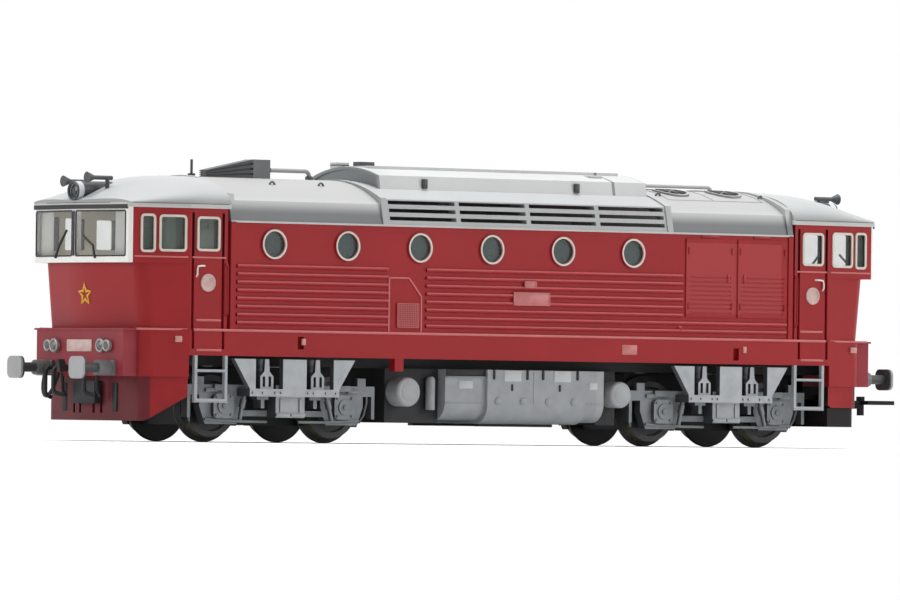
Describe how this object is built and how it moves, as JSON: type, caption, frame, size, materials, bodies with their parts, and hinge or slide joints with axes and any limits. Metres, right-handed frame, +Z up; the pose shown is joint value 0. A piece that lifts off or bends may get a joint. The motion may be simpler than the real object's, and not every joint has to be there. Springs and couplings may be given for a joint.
{
  "type": "scale model diesel locomotive",
  "caption": "Model diesel locomotive on swivelling bogies, with overhanging windscreens at both cabs, ribbed red sides, round portholes and a grey roof.",
  "frame": {"origin": "midway between the bogie pivots, on the centre line, at the level of the wheel flanges that it stands on", "axes": "+X along the locomotive towards its rear end, +Y across it, +Z up"},
  "size_m": [0.1991, 0.0352, 0.053],
  "materials": {
    "body_red": "satin paint",
    "window_white": "satin print",
    "glass": "clear",
    "roof_white": "matt paint",
    "roof_grey": "matt paint",
    "dark_grey": "matt paint",
    "lamp_dark": "satin",
    "lamp_metal": "bright",
    "black": "matt",
    "chassis_black": "matt black die casting",
    "interior_grey": "matt",
    "running_grey": "matt paint",
    "motor": "plain",
    "wheel_steel": "turned"
  },
  "bodies": {
    "loco": {"aerial": "dark_grey", "air_drums": "running_grey", "buffer_beam_front": "body_red", "buffer_beam_rear": "body_red", "buffers_front": "black", "buffers_rear": "black", "cab_interior_front": "interior_grey", "cab_interior_rear": "interior_grey", "cab_roof_front": "roof_white", "cab_roof_rear": "roof_white", "cab_shell_front": "body_red", "cab_shell_rear": "body_red", "cab_side_glass_front": "glass", "cab_side_glass_rear": "glass", "cab_steps": "running_grey", "cab_window_frames_front": "window_white", "cab_window_frames_rear": "window_white", "chassis_frame": "chassis_black", "equipment_boxes": "black", "exhaust_silencer": "dark_grey", "front_coupling": "black", "fuel_tank": "running_grey", "horns_front": "lamp_dark", "horns_rear": "lamp_dark", "marker_lamps_front": "lamp_metal", "marker_lamps_rear": "lamp_metal", "motor_block": "motor", "pilot_front": "body_red", "pilot_rear": "body_red", "porthole_glass": "glass", "porthole_rings": "window_white", "rear_coupler": "black", "roof_fans": "dark_grey", "roof_front": "roof_grey", "roof_hood": "roof_grey", "roof_middle": "roof_grey", "roof_pipe": "roof_grey", "roof_rear": "roof_grey", "side_wall_far": "body_red", "side_wall_near": "body_red", "sill_far": "body_red", "sill_near": "body_red", "top_lamp_front": "lamp_dark", "top_lamp_rear": "lamp_dark", "windscreen_frame_front": "window_white", "windscreen_frame_rear": "window_white", "windscreen_glass_front": "glass", "windscreen_glass_rear": "glass"},
    "bogie_front": {"bogie_frame_front": "running_grey", "bogie_springs_front": "running_grey"},
    "bogie_rear": {"bogie_frame_rear": "running_grey", "bogie_springs_rear": "running_grey"},
    "axle_1": {"wheelset_1": "wheel_steel"},
    "axle_2": {"wheelset_2": "wheel_steel"},
    "axle_3": {"wheelset_3": "wheel_steel"},
    "axle_4": {"wheelset_4": "wheel_steel"}
  },
  "joints": [
    {"name": "bogie_front_swivel", "type": "hinge", "parent": "loco", "child": "bogie_front", "pos_m": [-0.0515, 0, 0.015], "axis": [0, 0, 1], "range_deg": [-8, 8]},
    {"name": "bogie_rear_swivel", "type": "hinge", "parent": "loco", "child": "bogie_rear", "pos_m": [0.0515, 0, 0.015], "axis": [0, 0, 1], "range_deg": [-8, 8]},
    {"name": "axle_1_spin", "type": "hinge", "parent": "bogie_front", "child": "axle_1", "pos_m": [-0.0653, 0, 0.00675], "axis": [0, 1, 0], "continuous": true},
    {"name": "axle_2_spin", "type": "hinge", "parent": "bogie_front", "child": "axle_2", "pos_m": [-0.0377, 0, 0.00675], "axis": [0, 1, 0], "continuous": true},
    {"name": "axle_3_spin", "type": "hinge", "parent": "bogie_rear", "child": "axle_3", "pos_m": [0.0377, 0, 0.00675], "axis": [0, 1, 0], "continuous": true},
    {"name": "axle_4_spin", "type": "hinge", "parent": "bogie_rear", "child": "axle_4", "pos_m": [0.0653, 0, 0.00675], "axis": [0, 1, 0], "continuous": true}
  ]
}
